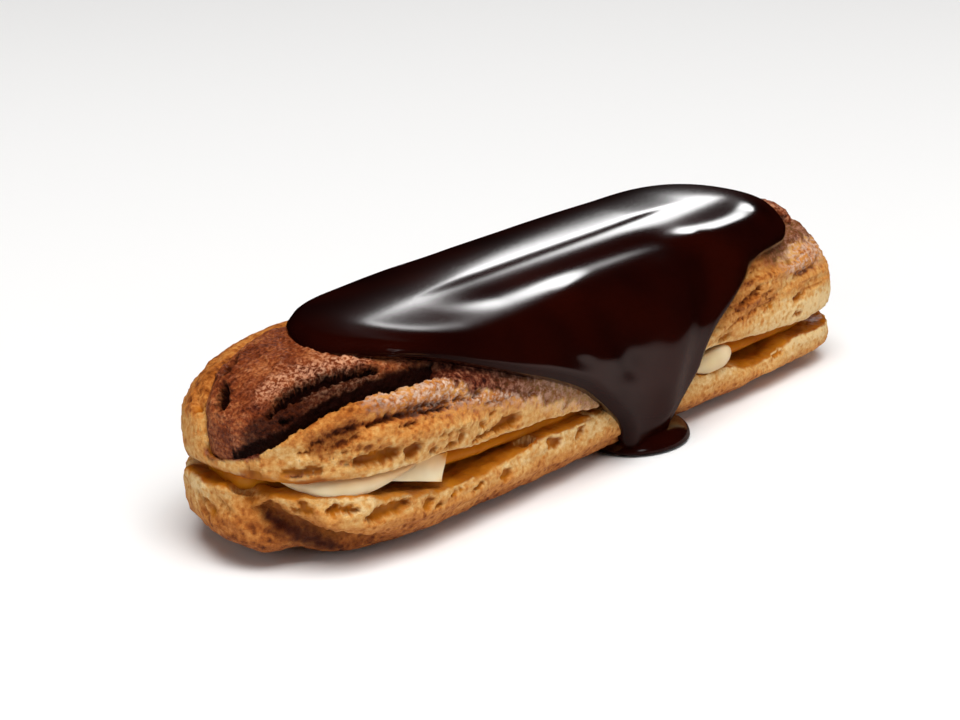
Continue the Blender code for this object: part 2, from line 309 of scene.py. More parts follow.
# Painted shade: creases, cracks, hollows, the canyon's bed and the strip under the flap darken towards this
# red-brown.
recess_shaded = add_node(tree, "Mix", {"Factor": recess_shade, "A": chocolate, "B": linear("#431506")}, data_type="RGBA")
film = add_node(tree, "ValToRGB", {"Fac": patch}, stops=[(0.3, "#8C4409"), (0.7, "#C07618")])
whole = add_node(tree, "Mix", {"Factor": hole, "A": recess_shaded, "B": film}, data_type="RGBA")
rough = add_node(tree, "MapRange", {"Value": hole, "To Min": 0.72, "To Max": 0.42})
fine = add_node(
    tree, "TexNoise", {"Vector": place, "Scale": 1 / (0.42 * MM), "Detail": 3.0, "Roughness": 0.7}
)
height = add_node(tree, "Math", {0: fine, 1: 1.6, 2: pores}, operation="MULTIPLY_ADD")
rougher = add_node(tree, "MapRange", {"Value": hole, "To Min": 1.0, "To Max": 0.1})
relief = add_node(tree, "Bump", {"Height": height, "Strength": rougher, "Distance": 0.32 * MM})
plug(shader, {"Base Color": whole, "Roughness": rough, "Normal": relief})

base = copy_of("bottom_half", "Choux_base")
even_out(base, 0.55, 10)
refine(base, lambda x, y, z: (y < BUN_Y - 6) & (z > 1.0))

points = points_of(base)
x, y, z = points.T
lip = split_at(x) - gap_at(x) / 2
lifted = np.interp(
    x,
    [-70, -62, -57, -50, -44, -41, -37, -31, -26, -22, -15, -8, 2, 14, 21, 30, 34, 37, 41, 45,
     50, 55, 62, 70],
    [0.9, 0.9, 0.3, -0.6, -1.1, -1.3, -1, -0.6, 0, 1.2, 1.1, 0.9, 0.6, 0.6, 0.7, 0.6, -0.5, -1.1, -1, -0.6,
     0.4, 0.5, 0, 0],
)
z += ease(z, lip - 5, lip - 0.6) * lip_wave(x, y, lifted, 0.7, 17, 3)
points = np.column_stack([x, y, z])

crease = [(-67.8, -0.6, 11.6), (-69.1, -2.8, 11.3), (-69, -4.1, 10.1), (-68.5, -5.5, 9), (-67.5, -6.9, 7.5),
          (-66.1, -8.4, 6.5), (-64.2, -9.9, 5.2), (-61.9, -11.7, 4.2), (-58.4, -13.6, 3), (-55, -15, 1.8)]
SWIRLS = [
    [(-69.5, 5.4, 8.5), (-69.7, 2.1, 7.1), (-69, -1.5, 6), (-67.3, -4.6, 4.8)],
    [(-69.8, 3.1, 10.3), (-69.8, 0.1, 8.8), (-68.9, -3.4, 7.3), (-67.1, -6.3, 5.8)],
    [(-68.8, 7.9, 10), (-69.2, 5.8, 7.3), (-68.7, 2.5, 5.2), (-67.2, -1.7, 3.8), (-65, -5, 3)],
    [(-69.9, 1.9, 9.6), (-69.6, -1.2, 7.9), (-68.4, -4.2, 6.6), (-66.4, -6.9, 5.2), (-63, -9.6, 3.6)],
]
normals = normals_of(base)
folded = near(points, crease, 2.1, 2.0, 0.4, 11, 0.3)
lobe = np.maximum(near(points, [(-69, 3, 6), (-67.6, -4.6, 3.6), (-64.5, -8.2, 2.0)], 4.2, 2.0) - folded, 0)
cheek = np.maximum(near(points, [(-63.5, -12.2, 7.6), (-58, -16, 5.5)], 4.5, 2.0) - folded, 0)
points += normals * (1.0 * lobe + 1.0 * cheek - 3.4 * folded)[:, None]
swirl = np.zeros(len(points))
for number, path in enumerate(SWIRLS, 200):
    swirl = np.maximum(swirl, near(points, path, 0.42, 2.0, 0.35, number, 0.7))
points -= normals * (0.55 * swirl)[:, None]

BASE_HOLES = [  # the path of each hole's middle, its reach and its depth
    ([(-67.6, 7.4, 11), (-67.9, 5.2, 10.6)], 1.25, 1.6),
    ([(-69.6, 7.2, 9.6), (-69.9, 5, 8.4), (-69.4, 3.4, 7.8)], 0.75, 1),
    ([(-63.4, -12.2, 9.7), (-60.2, -14.1, 9.4)], 0.95, 1.4),
    ([(-58.6, -15.1, 7.9), (-55, -16.3, 8.5), (-52.1, -17, 8.7)], 0.95, 1.5),
    ([(-48.6, -17.4, 7.3), (-46.9, -17.6, 7.8)], 0.75, 0.9),
    ([(-42.6, -17.6, 7), (-40.4, -17.8, 7.5)], 0.5, 0.6),
    ([(-64.9, -8.2, 11), (-65.6, -9.7, 10.4), (-65.3, -10.3, 9.3)], 0.8, 1.1),
    ([(-37.5, -17.7, 6.6), (-35.6, -17.8, 7)], 0.45, 0.6),
    ([(-46.4, -17.5, 6.4), (-45, -17.6, 6.6)], 0.35, 0.5),
    ([(-67.2, -7.6, 9.6), (-65.2, -10.2, 9.9)], 0.6, 0.8),
    ([(-24.8, -15.9, 7.6), (-22.2, -15.8, 9.6)], 1.25, 1.7),
    ([(-19.6, -17.4, 8.3), (-16.8, -17.6, 7.9)], 0.85, 1),
    ([(-12.3, -17.6, 7.3), (-10.8, -17.7, 8)], 0.8, 0.9),
    ([(-30.8, -17.6, 6.4), (-29.2, -17.7, 6.7)], 0.7, 0.8),
    ([(44, -17.9, 5.8), (46.5, -17.8, 6.1)], 0.45, 0.5),
    ([(58, -15.6, 7.2), (60.2, -14.6, 7.3)], 0.5, 0.6),
    ([(-40, 19.6, 7.8), (-35, 20.2, 8.1)], 1, 1.4),
    ([(-22, 20.9, 6.6), (-19.5, 21, 6.9)], 0.8, 1),
    ([(-2, 21.1, 6.4), (4, 21.2, 6.9)], 0.9, 1.3),
    ([(24, 21.3, 5.2), (27, 21.3, 5.6)], 0.7, 0.9),
    ([(42, 20.9, 5.6), (47, 20.5, 6)], 0.9, 1.2),
    ([(66.5, 8, 5.6), (67.8, 4.4, 6)], 0.8, 1),
]
normals = normals_of(base)
skin = ease(z, 0.6, 2.5)
drawn_out = mottle(points, (11, 3.2, 1.5), 21, 3)
lumps = mottle(points, 5.0, 22, 3)
crumbs = mottle(points, 1.1, 23, 2)
torn = ease(z, lip - 3.4, lip - 0.4)
points += normals * (skin * (0.28 * drawn_out + 0.3 * lumps + (0.08 + 0.1 * torn) * crumbs))[:, None]
holes = dig(points, normals, BASE_HOLES, 0)
move_points(base, points)
modify(base, "SMOOTH", factor=0.3, iterations=1)

points = points_of(base)
x, y, z = points.T
height = z / np.maximum(lip, 1)
upward = normals_of(base)[:, 2]
inner = ease(upward, 0.55, 0.85) * ease(z, lip + lifted - 1.2, lip + lifted - 0.3)
film = inner * np.clip((x < -8) + ease(x, 30, 36) + ease(mottle(points, 2.2, 24, 2), -0.05, 0.15), 0, 1)
# Paler towards the blunt end as painted light, on top of the real browning and the pale torn crumb.
bake_light_and_shade = 0.7 - 0.44 * ease(height, 0.12, 0.95) - 0.1 * torn + 0.08 * drawn_out - 0.12 * ease(x, 28, 50)
# Painted shade: the crease and the swirl grooves are made browner in bake.
paint(base, "bake_light_and_shade", bake_light_and_shade + 0.3 * folded + 0.2 * swirl + 0.1 * ease(-x, 60, 66) * ease(-y, -8, 0))
paint(base, "dust", 0 * x)
paint(base, "cocoa", 0 * x)
# Painted shade under the cream's flap: a dark amber-brown strip on the lower lip.
flap_shade = near(points, [(-58, -13.0, 10.6), (-51, -14.2, 9.8), (-43, -15.4, 9.0)], 3.2, 4.0)
flap_shade *= ease(upward, 0.1, 0.5)
# Painted shade: the crease's deepest part turns near black red-brown and loses its amber film.
crease_shade = near(points, [(-66.9, -3.4, 8.6), (-66.3, -4.6, 7.4), (-65.9, -5.3, 6.7), (-64.6, -6.9, 5.8),
                        (-62.5, -8.2, 4.3), (-60, -9.6, 3.2)], 1.6, 2, 0.5, 5, 0.5)
amber_film = np.maximum(np.maximum(ease(holes, 0.12, 0.5), film), 0.4 * ease(folded, 0.2, 0.6))
paint(base, "hole", amber_film * (1 - flap_shade) * (1 - crease_shade) + 0.85 * flap_shade)
# Painted shade in the crease and swirls, and under the flap.
paint(base, "recess_shade", np.maximum(0.95 * crease_shade + 0.3 * ease(folded, 0.4, 0.9) + 0.2 * swirl, 0.5 * flap_shade))
base.data.materials.append(choux)
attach(base, "root")
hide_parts("bottom_half")

# ---------------------------------------------------------------------------------------------------------
# Custard.
# Pastry cream, piped along the bottom half. It is smooth, amber and moist, and light passes a little way in.

custard_mat, tree, shader, place = new_material("Pastry_cream_piped", {
    "Roughness": 0.36, "IOR": 1.4, "Specular IOR Level": 0.4,
    "Subsurface Weight": 0.25, "Subsurface Radius": (1.0, 0.45, 0.12), "Subsurface Scale": 1.2 * MM,
})
drawn = add_node(tree, "Mapping", {"Vector": place, "Scale": (1 / (10 * MM), 1 / (10 * MM), 1 / (3 * MM))})
cloud = add_node(tree, "TexNoise", {"Vector": drawn, "Scale": 1.0, "Detail": 3.0})
amber = add_node(
    tree, "ValToRGB", {"Fac": cloud}, stops=[(0.25, "#A85606"), (0.5, "#C9760A"), (0.75, "#DE9420")]
)
swell = add_node(tree, "TexNoise", {"Vector": place, "Scale": 1 / (2.5 * MM), "Detail": 2.0})
relief = add_node(tree, "Bump", {"Height": swell, "Strength": 0.5, "Distance": 0.3 * MM})
plug(shader, {"Base Color": amber, "Normal": relief})

custard = copy_of("custard", "Custard")
even_out(custard, 0.6, 6)
points = points_of(custard)
forward = 0.6 * ease(-points[:, 0], 54, 62) + 0.5
points += normals_of(custard) * (forward + 0.25 * mottle(points, (9, 5, 3), 31, 2))[:, None]
move_points(custard, points)
custard.data.materials.append(custard_mat)
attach(custard, "root")
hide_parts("custard")

# ---------------------------------------------------------------------------------------------------------
# Cream.
# Whipped cream laid over the custard. It is squeezed out at the front of the tapered end in a smooth roll,
# with a drawn flap beside it, and shows again as a small round blob past the drip.

cream_mat, tree, shader, place = new_material("Whipped_cream", {
    "Roughness": 0.42, "IOR": 1.4, "Specular IOR Level": 0.4,
    "Subsurface Weight": 0.35, "Subsurface Radius": (1.0, 0.7, 0.4), "Subsurface Scale": 1.5 * MM,
})
cloud = add_node(tree, "TexNoise", {"Vector": place, "Scale": 1 / (6 * MM), "Detail": 2.0})
ivory = add_node(tree, "ValToRGB", {"Fac": cloud}, stops=[(0.3, "#D8BF92"), (0.7, "#EBDAB8")])
amber = add_node(tree, "ValToRGB", {"Fac": cloud}, stops=[(0.3, "#A85808"), (0.7, "#D08A1C")])
# Soaked cream takes the custard's amber; under the upper lip the same amber is painted shade.
soaked_and_shaded = add_node(tree, "Attribute", {}, attribute_name="soaked_and_shaded").outputs["Fac"]
tinted = add_node(tree, "Mix", {"Factor": soaked_and_shaded, "A": ivory, "B": amber}, data_type="RGBA")
swell = add_node(tree, "TexNoise", {"Vector": place, "Scale": 1 / (1.5 * MM), "Detail": 2.0})
relief = add_node(tree, "Bump", {"Height": swell, "Strength": 0.25, "Distance": 0.15 * MM})
plug(shader, {"Base Color": tinted, "Normal": relief})


def join(piece, *others):
    """Joins other meshes into this piece."""
    alone(piece)
    for other in others:
        other.select_set(True)
    bpy.ops.object.join()


def sweep(stations):
    """A closed tube through stations: a middle, and its half height and half depth across the path."""
    middles = np.array([station[0] for station in stations], float)
    halves = np.array([station[1:] for station in stations], float)
    shares = np.linspace(0, 1, 48)
    run = np.concatenate([[0], np.cumsum(np.linalg.norm(np.diff(middles, axis=0), axis=1))])
    run /= run[-1]
    path = np.column_stack([np.interp(shares, run, middles[:, i]) for i in range(3)])
    sizes = np.column_stack([np.interp(shares, run, halves[:, i]) for i in range(2)])
    for _ in range(6):
        path[1:-1] = (path[:-2] + 2 * path[1:-1] + path[2:]) / 4
        sizes[1:-1] = (sizes[:-2] + 2 * sizes[1:-1] + sizes[2:]) / 4
    rounded = np.sqrt(np.clip(1 - np.abs(2 * shares - 1) ** 8, 0, 1))
    alone()
    bpy.ops.mesh.primitive_cylinder_add(vertices=24, radius=1, depth=2, end_fill_type="TRIFAN")
    tube = bpy.context.object
    bpy.ops.object.mode_set(mode="EDIT")
    bpy.ops.mesh.select_mode(type="EDGE")
    bpy.ops.mesh.select_all(action="DESELECT")
    bpy.ops.object.mode_set(mode="OBJECT")
    for edge in tube.data.edges:
        low, high = (tube.data.vertices[corner].co.z for corner in edge.vertices)
        edge.select = abs(high - low) > 1.5
    bpy.ops.object.mode_set(mode="EDIT")
    bpy.ops.mesh.subdivide_edgering(number_cuts=46)
    bpy.ops.object.mode_set(mode="OBJECT")
    flat = points_of(tube) * MM
    level = np.clip(np.round((flat[:, 2] + 1) / 2 * 47).astype(int), 0, 47)
    ahead = np.gradient(path, axis=0)
    ahead /= np.linalg.norm(ahead, axis=1, keepdims=True)
    outward = np.cross(ahead, (0, 0, 1.0))
    outward /= np.linalg.norm(outward, axis=1, keepdims=True)
    half_height, half_depth = (sizes[level] * rounded[level][:, None]).T
    placed = path[level] + outward[level] * (flat[:, 0] * half_depth)[:, None]
    placed[:, 2] += flat[:, 1] * half_height
    move_points(tube, placed)
    return tube


cream = copy_of("cream", "Cream")
modify(cream, "REMESH", mode="VOXEL", voxel_size=0.8 * MM, use_smooth_shade=True)
points = points_of(cream)
x, y, z = points.T
hollowed = np.clip(ease(x, -47, -43) * (1 - ease(x, 14, 18)) + ease(x, 32, 36), 0, 1)
y += 2.2 * ease(-y, 7, 15) * hollowed * (1 - 0.35 * ease(z, 12, 14))
move_points(cream, points)
roll = sweep([
    ((-65.6, -3.2, 13.9), 0.3, 0.7), ((-64.6, -6.4, 13.2), 1, 1.3), ((-62.2, -9.8, 12.4), 1.8, 1.8),
    ((-59.4, -12, 12.2), 2.1, 2), ((-55.6, -13.9, 12.7), 1.6, 1.8), ((-51.6, -15.6, 13.5), 0.8, 1.3),
    ((-48.6, -16.4, 14.2), 0.4, 0.8),
])
blob = sweep([
    ((20, -16, 9.4), 0.8, 1.2), ((24, -16.8, 9.3), 1.7, 1.9), ((28, -17, 9.6), 1.9, 1.9),
    ((31.4, -16.6, 10.2), 0.9, 1.2),
])
join(cream, roll, blob)
even_out(cream, 0.45, 8)

alone()
bpy.ops.mesh.primitive_plane_add(size=1)
flap = bpy.context.object
placed = np.zeros((4, 3))
placed[list(flap.data.polygons[0].vertices)] = [
    (-54.9, -14.9, 12.4), (-44.9, -17.3, 9.8), (-43.2, -17.3, 13.7), (-56.2, -15.2, 14.4)
]
move_points(flap, placed)
bpy.ops.object.mode_set(mode="EDIT")
bpy.ops.mesh.select_all(action="SELECT")
bpy.ops.mesh.subdivide(number_cuts=24)
bpy.ops.mesh.extrude_region_move(TRANSFORM_OT_translate={"value": (0.3 * MM, 3.2 * MM, 0)})
bpy.ops.mesh.select_all(action="SELECT")
bpy.ops.mesh.normals_make_consistent(inside=False)
bpy.ops.object.mode_set(mode="OBJECT")
points = points_of(flap)
points += np.array([0.1, -1, 0]) * (0.45 * mottle(points, (6, 6, 4), 33, 2))[:, None]
move_points(flap, points)
alone(flap)
bpy.ops.object.shade_smooth_by_angle(angle=math.radians(40))
join(cream, flap)

points = points_of(cream)
x, y, z = points.T
ROLL = [(-66, -3.6, 13.4), (-62.6, -10.8, 11.8), (-59.2, -13.2, 11.4), (-55, -15, 12), (-49, -17.2, 13.8)]
fresh = near(points, ROLL, 3.4, 6.0)
on_flap = near(points, [(-54, -16, 13), (-49, -16.5, 12.2), (-44, -17.3, 11.8)], 3.0, 6.0)
fresh = np.maximum(fresh, on_flap * ease(-y, 14.5, 15.0))
fresh = np.maximum(fresh, near(points, [(20, -17, 9.6), (31.5, -17, 10)], 2.8, 6.0))
fresh = np.maximum(fresh, 0.8 * ease(mottle(points, (9, 9, 2.0), 34, 2), 0.12, 0.3) * ease(x, -46, -40))
lip = split_at(x) + gap_at(x) / 2
# Painted shade: fresh cream just under the upper lip turns partly amber and darker.
shade = ease(z, lip - 3.4, lip - 0.8)
paint(cream, "soaked_and_shaded", 1 - fresh * (1 - 0.6 * shade * (x < 0)))
cream.data.materials.append(cream_mat)
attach(cream, "root")
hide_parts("cream")

# ---------------------------------------------------------------------------------------------------------
# Top half of the bun.
# The same choux. Its side has a pale, hollowed band of torn crumb along the lip, with long holes in it, and
# a golden baked ridge above that, drawn out in wrinkles and cracks as the dough rose.

ROUND = 2.6  # how square the bun's section is: 2 would make it an ellipse
# At places along the bun: where the cocoa crust's front edge was laid, where it hangs to now that it has
# torn, and how far the torn bed under it reaches
EDGE_X = [-69, -67, -65.3, -63.4, -59.7, -56.8, -50.5, -43, -37, -32, -20]
EDGE_Y = [-2.2, -4.6, -5.6, -6.4, -8, -8.9, -10.8, -12.2, -12.5, -12.8, -13]
TORN_Y = [-3.6, -6.3, -7, -7.3, -8.3, -9.3, -11.2, -12.9, -13, -12.8, -13]
BED_Y = [-3.6, -6.9, -8.5, -9.6, -11.2, -12.4, -14.2, -15, -14.6, -14, -14]
# The line of the glaze's front edge, as places along the bun and angles around its section from the front:
# cocoa runs down the skin below it
FRONT_EDGE = [
    (-51, 46), (-48, 37), (-44.2, 31), (-40, 25), (-35.5, 19), (-31, 14), (-25.8, 8.5), (-21.2, 4),
    (-16.2, -1.5), (-12.2, -6), (-9, -11), (-6.2, -16), (-4.2, -20), (-2.4, -24), (-1.2, -28), (-0.4, -32),
    (0.8, -36), (3, -38.5), (6, -39.5), (9, -38.5), (11, -35.5), (12, -31.5), (12.8, -28), (14.6, -23),
    (16.6, -18.5), (18.5, -14), (20, -7.5), (22.2, -1), (24.5, 3), (27.2, 7), (30.5, 12), (33.5, 16),
    (36.2, 20.5), (39, 23), (42.2, 24.5), (45.8, 25.5), (49.2, 27), (52.2, 32),
]


def rounding(x, reach, power):
    """How much of its full size the bun has at x: 1 in the middle, 0 at the tips."""
    into = np.clip(1 - (LENGTH / 2 - np.abs(x)) / reach, 0, 1)
    return (1 - into**power) ** (1 / power)


def section_at(x):
    """The bun's smooth section at x: its half width, and the heights of its widest place and of its top."""
    left = x < 0  # the tapered half draws in sooner than the blunt one
    scale = np.where(left, rounding(x, 24, 2.1), rounding(x, 16, 3.2))
    lift = np.where(left, rounding(x, 26, 2.2), rounding(x, 27, 2.6))
    roof = split_at(x) + gap_at(x) / 2
    top_z = roof + (between((28.1, 27.2), x) - roof) * lift + 1.1
    return between((19.6, 20.4), x) * scale + 0.3, roof + 4.5 * lift, top_z


def roof_at(x, y):
    """Height of the smooth form that the crust and the glaze lie on, seen from above."""
    half_width, widest, top_z = section_at(x)
    across = np.clip(np.abs(y - BUN_Y) / half_width, 0, 0.97)
    return widest + (top_z - widest) * (1 - across**ROUND) ** (1 / ROUND)


# The crust's plain form, which the bun's rim closes up to
crust_cad = BVHTree.FromObject(frame["nodes"]["cocoa_crust"], bpy.context.evaluated_depsgraph_get())
top = copy_of("top_half", "Choux_top")
even_out(top, 0.66, 9)
refine(top, lambda x, y, z: (y < BUN_Y - 7) & (z > split_at(x) + gap_at(x) / 2 - 1.5) & (z < 26))

points = points_of(top)
x, y, z = points.T
lip = split_at(x) + gap_at(x) / 2
dropped = np.interp(
    x,
    [-70, -65, -62, -57, -50, -47, -37, -25, -11, -6, 4, 16, 24, 31, 36, 42, 54, 62, 70],
    [-1.9, -1.9, -1.5, -1.2, -0.6, -0.3, -0.7, -0.8, -1, -1.2, -0.6, 0.2, 0.9, 0.5, 0, -0.6, -1.2, -0.5, 0],
)
z += (1 - ease(z, lip + 0.6, lip + 6)) * lip_wave(x, y, dropped, -0.6, 15, 4)
points = np.column_stack([x, y, z])

ridge = [
    (-68.9, -2.5, 19), (-67.2, -7.3, 19.6), (-65.5, -9.2, 20.5), (-63.4, -10.4, 21.8), (-59.7, -12.3, 22.9),
    (-56.8, -13.4, 23.6), (-50.5, -15.2, 23.8), (-43, -16.2, 23), (-34, -17.2, 21.6), (-24, -18, 19.6),
    (-14, -18.6, 16.8),
]
ridge_2 = [(-66.5, -9.3, 16.9), (-62.2, -12.8, 19.2), (-56, -15.8, 19), (-48, -17.6, 18), (-38, -18.4, 17.2)]
ridge_3 = [(24, -18.6, 14.2), (34, -18.2, 17.6), (44, -17.4, 19.6), (56, -16, 19.4), (63, -12.8, 18.6)]
normals = normals_of(top)
proud = near(points, ridge, 1.7, 2.0, 0.4, 41, 0.5)
proud_2 = near(points, ridge_2, 1.8, 2.0, 0.4, 42, 0.6)
proud_3 = near(points, ridge_3, 1.9, 2.0, 0.4, 43, 0.6)
points += normals * (0.9 * proud + 0.7 * proud_2 + 0.7 * proud_3)[:, None]

TOP_CRACKS = [  # the path, its reach and its depth
    ([(-57.7, -14.5, 21.1), (-54, -15.6, 21.7), (-48.1, -16.7, 21.1), (-42.7, -17.1, 20.3)], 0.6, 1.6),
    ([(-66.3, -8.9, 18.5), (-64.1, -11.3, 18.8), (-60.5, -13.7, 19.7), (-57.5, -15.1, 20),
      (-51.3, -16.8, 20), (-43.2, -17.4, 19.2)], 0.42, 0.8),
    ([(-65.8, -9.2, 19.2), (-63.6, -11.3, 19.9), (-60.7, -12.9, 21.1), (-57.6, -13.9, 22.2)], 0.5, 0.9),
    ([(-62.3, -11.7, 21.3), (-59, -12.4, 23.1), (-54.6, -14.2, 23.4), (-49.8, -15.6, 23), (-44, -16.3, 22.2),
      (-37.6, -16.7, 21.1)], 0.4, 0.8),
    ([(-55.2, -12.8, 24.4), (-51.4, -14.2, 24.3), (-46.1, -15.3, 23.7), (-40.1, -16, 22.7)], 0.35, 0.6),
    ([(-52.3, -15.8, 22.4), (-46.9, -16.8, 21.8), (-40.7, -17.2, 20.9), (-35.5, -17.6, 20.2)], 0.45, 0.9),
    ([(-65.4, -10.4, 17.4), (-62.5, -13.2, 18), (-58, -15.6, 18.4), (-49, -17.6, 17.6), (-41, -18.2, 16.8)],
     0.45, 0.7),
    ([(-64, -12, 16.4), (-58, -16.2, 17.2), (-50, -17.8, 16.9)], 0.35, 0.5),
    ([(30, -18.2, 16.6), (37, -17.9, 18.2), (41, -17.6, 18.8)], 0.6, 0.9),
    ([(24, -18.8, 13.4), (33, -18.6, 15.2), (43, -18.2, 16.4)], 0.4, 0.5),
    ([(46, -17.2, 20.2), (56, -16.4, 19.9), (62, -13.6, 19.4)], 0.4, 0.5),
    ([(50, -17.6, 18.2), (57, -17.2, 18.4), (64, -12.6, 17.6)], 0.45, 0.6),
]
FAR_HEAP = [(60, -9, 24.5), (64, -5, 24), (66, 0, 23)]  # the crust is heaped up here, beyond the glaze
BULGE_HOLLOW = [(-64.8, -10.9, 18.4), (-63.4, -11.8, 19.3), (-61.7, -12.9, 20.1), (-59.7, -13.7, 20.9)]
CANYONS = [  # the path along each canyon's floor, its reach and its depth
    ([(-66, -3.9, 22.8), (-63.5, -4.5, 24.6), (-59.8, -5.8, 25.9), (-57.7, -6.8, 26.5), (-53.9, -8.4, 27.1),
      (-49.5, -10.4, 26.9)], 1.3, 2.5),
    ([(-57.9, 9.9, 26.6), (-60.5, 8.5, 26.3), (-62.9, 7.1, 25.7)], 1.15, 2.1),
    ([(-64.6, 6.1, 25.1), (-66.8, 4.2, 24), (-68.1, 2.5, 22.6)], 1.15, 2.1),
    ([(56, -5, 26.8), (60, -8.6, 24.8), (61.5, -11, 22.8)], 1.2, 2.2),
    ([(59, 3, 26), (63.5, -1, 24.5), (66, -6, 22)], 0.8, 1.2),
]
TOP_PITS = [
    ([(-32.1, -17.1, 20), (-30.8, -17.2, 19.8)], 0.6, 1),
    ([(-36.9, -16.8, 20.6), (-35.2, -16.9, 20.8)], 0.5, 0.8),
    ([(-24.6, -17.7, 17.4), (-23, -17.8, 17.2)], 0.5, 0.8),
    ([(-20.5, -18.1, 15.4)], 0.45, 0.6),
    ([(-28.9, -17, 20.2)], 0.4, 0.6),
    ([(52.6, -16.8, 20.1)], 0.6, 0.9),
    ([(56.3, -16.7, 19.6)], 0.5, 0.8),
    ([(58.7, -16.7, 19.1)], 0.5, 0.8),
    ([(43, -17, 19.8), (44.4, -17, 19.9)], 0.6, 0.8),
    ([(37.6, -17.2, 19), (39.8, -17.2, 19.3)], 0.6, 0.8),
]
TOP_HOLES = [
    ([(-66.4, 9, 21.9), (-66.5, 9.3, 21.3)], 0.85, 1),
    ([(-69.8, 4.6, 17.8), (-69.8, 2.8, 17.2)], 1.45, 1.4),
    ([(-67.6, -7.6, 15.6), (-65.6, -9.9, 15.7), (-64.2, -11.3, 15.9)], 0.6, 0.9),
    ([(-69.8, -2.4, 15.2), (-69.2, -4.4, 15)], 0.7, 0.8),
    ([(-47.6, -17.8, 15.2), (-46.2, -17.9, 15)], 0.4, 0.6),
    ([(-36.6, -17.9, 16), (-35.2, -18, 15.9)], 0.45, 0.6),
    ([(-34, -17.9, 17.2), (-32.8, -18, 17)], 0.35, 0.5),
    ([(-17.6, -18.4, 13.2), (-14.8, -18.4, 12.6)], 0.35, 0.5),
    ([(-59.8, -14.4, 16.3), (-57.1, -15.8, 16.5), (-54.2, -16.9, 16.8)], 1.15, 1.7),
    ([(-52.2, -17.3, 16.2), (-50.3, -17.6, 16.5)], 1.15, 1.5),
    ([(-43.8, -17.8, 14.8), (-42.2, -17.9, 14.6)], 0.75, 1.1),
    ([(-41.1, -17.9, 15), (-40.8, -17.9, 16.2)], 0.75, 1.2),
    ([(-38.2, -17.9, 14.1), (-33.4, -18, 14.5)], 0.42, 0.8),
    ([(-32.2, -17.9, 14.3), (-28, -18, 14.5)], 1.2, 1.6),
    ([(49.2, -18.3, 11.7), (51.6, -18.2, 11.6)], 0.5, 0.6),
    ([(26.5, -18.3, 12.9), (29.5, -18.3, 13.1)], 0.6, 0.7),
    ([(40.6, -18.2, 15), (42.8, -18.2, 15.3)], 0.5, 0.5),
    ([(49.6, -18.3, 14.4), (52.6, -18.1, 14.6)], 0.55, 0.6),
    ([(-44, 19.4, 15.4), (-38, 20.2, 15.2)], 1, 1.4),
    ([(-24, 21, 14), (-21, 21.2, 14)], 0.8, 1),
    ([(-6, 21.4, 13.2), (0, 21.6, 13.2)], 0.9, 1.3),
    ([(18, 21.7, 12.8), (21, 21.7, 12.6)], 0.7, 0.9),
    ([(38, 21.4, 12.6), (44, 21, 12.8)], 0.9, 1.3),
    ([(67, 8, 13), (68.2, 3.8, 13.2)], 0.8, 1),
]
normals = normals_of(top)
drawn_out = mottle(points, (12, 4, 1.4), 44, 4)
lumps = mottle(points, 5.0, 45, 3)
crumbs = mottle(points, 1.0, 46, 3)
torn = 1 - ease(z - lip, 2.2, 5.5)
golden = 1 - torn
open_skin = 1 - ease(z, 25.5, 26.5) * (np.abs(y - BUN_Y) < 16)
wrinkle = 1 - ease(np.abs(mottle(points, (15, 6, 2.2), 47, 2)), 0.0, 0.07)
wrinkle = wrinkle * golden * ease(mottle(points, 6.0, 48, 1), -0.15, 0.1)
rise = 0.5 * golden * drawn_out + 0.22 * lumps + (0.2 - 0.06 * torn) * crumbs - 0.4 * wrinkle
points += normals * (open_skin * rise)[:, None]
heap = near(points, FAR_HEAP, 5.0, 2.0) * ease(x, 57.5, 61.5)
points += normals * (1.4 * heap)[:, None]
rim_zone = np.where((x < -44) & (z > 15))[0]
gap_to_crust = np.full(len(points), 9.0)
gap_to_crust[rim_zone] = [
    crust_cad.find_nearest(Vector(spot) * MM)[3] / MM for spot in points[rim_zone].tolist()
]
lowered = ease(-x, 44, 50) * ease(y, -4, 1) * ease(normals[:, 2], 0.1, 0.4)
points[:, 2] -= 0.9 * (1 - ease(gap_to_crust, 0.6, 3.2)) * lowered
bed = ease(y - np.interp(x, EDGE_X, BED_Y) + 0.5 * mottle(points, 1.5, 58, 2), -0.1, 0.7)
bed *= ease(-x, 38, 44) * (1 - ease(-x, 68.2, 69.6)) * (1 - ease(y, -3, 0)) * ease(z, 16.5, 18)
nose = ease(-x, 64, 68)
points += np.column_stack([1.6 * nose, 0 * nose, -3.4 + 1.6 * nose]) * bed[:, None]
for path, reach, depth in CANYONS[2:]:
    points -= normals * (near(points, path, reach + 1.4, 2.6) * depth)[:, None]
hollow = near(points, BULGE_HOLLOW, 1.5, 2.0, 0.4, 57, 0.5)
points -= normals * (0.8 * hollow)[:, None]
cracks = np.zeros(len(points))
for number, (path, reach, depth) in enumerate(TOP_CRACKS + TOP_PITS, 60):
    crack = near(points, path, reach, 2.6, 0.5, number, 0.6)
    points -= normals * (crack * depth)[:, None]
    cracks = np.maximum(cracks, crack * min(1, depth))
holes = dig(points, normals, TOP_HOLES, 90)
move_points(top, points)
modify(top, "SMOOTH", factor=0.3, iterations=1)

